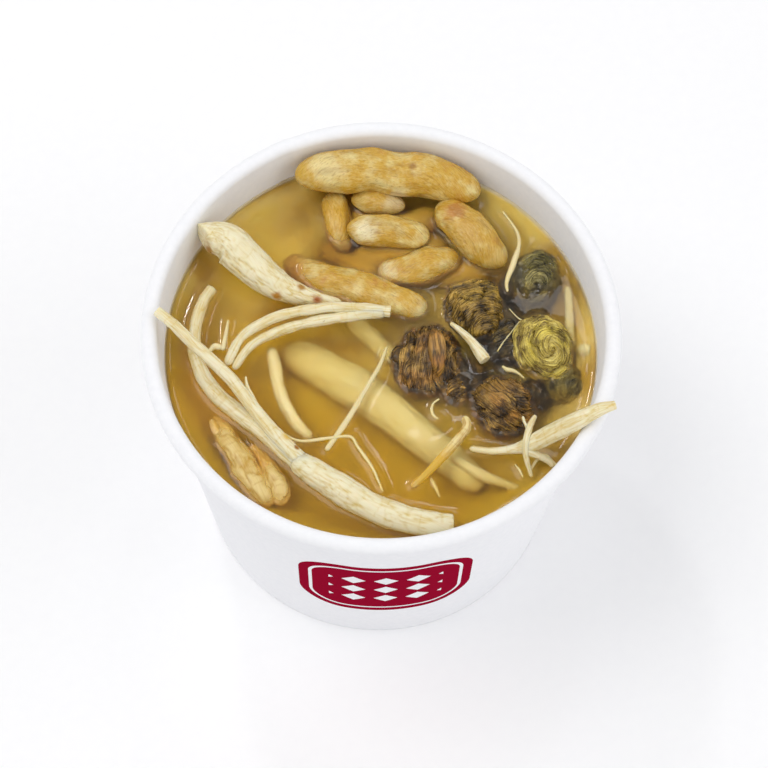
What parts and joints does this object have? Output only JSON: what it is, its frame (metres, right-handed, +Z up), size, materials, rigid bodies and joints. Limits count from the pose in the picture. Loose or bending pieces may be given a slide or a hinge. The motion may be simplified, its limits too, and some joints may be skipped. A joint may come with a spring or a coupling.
{
  "type": "bowl of ginseng chicken soup",
  "caption": "Round paper tub with a rolled rim, filled with golden broth, plump meat strips, pale ginseng roots and wound herb coils.",
  "frame": {"origin": "centre of the tub's foot, on the surface that it stands on", "axes": "+Z is up, along the tub's axis; the meat strips are at +Y and the long forked root at -Y"},
  "size_m": [0.115, 0.115, 0.0909],
  "materials": {
    "paper": "smooth coated white board, softly glossy",
    "broth": "clear to cloudy golden liquid, wet gloss",
    "meat": "wrinkled ochre flesh, wet",
    "root": "pale ridged root skin, damp",
    "soaked_root": "root skin stained by the broth, damp",
    "dark_herb": "dark olive brown stranded herb, wet",
    "red_herb": "reddish brown stranded herb, wet",
    "green_herb": "olive green stranded herb, wet"
  },
  "bodies": {
    "root": {"tub_wall": "paper", "tub_base": "paper", "broth": "broth", "meat_back": "meat", "meat_short": "meat", "meat_middle": "meat", "meat_front": "meat", "meat_long": "meat", "meat_right": "meat", "meat_sunk": "meat", "root_thick": "root", "root_forked": "root", "root_arched": "root", "root_folded": "soaked_root", "root_right": "root", "root_tail": "soaked_root", "root_floating": "root", "root_hair": "root", "root_stub": "root", "coil_back": "dark_herb", "coil_right": "green_herb", "coil_left": "red_herb", "coil_front": "red_herb", "coil_far": "dark_herb", "coil_small": "red_herb"}
  },
  "joints": []
}
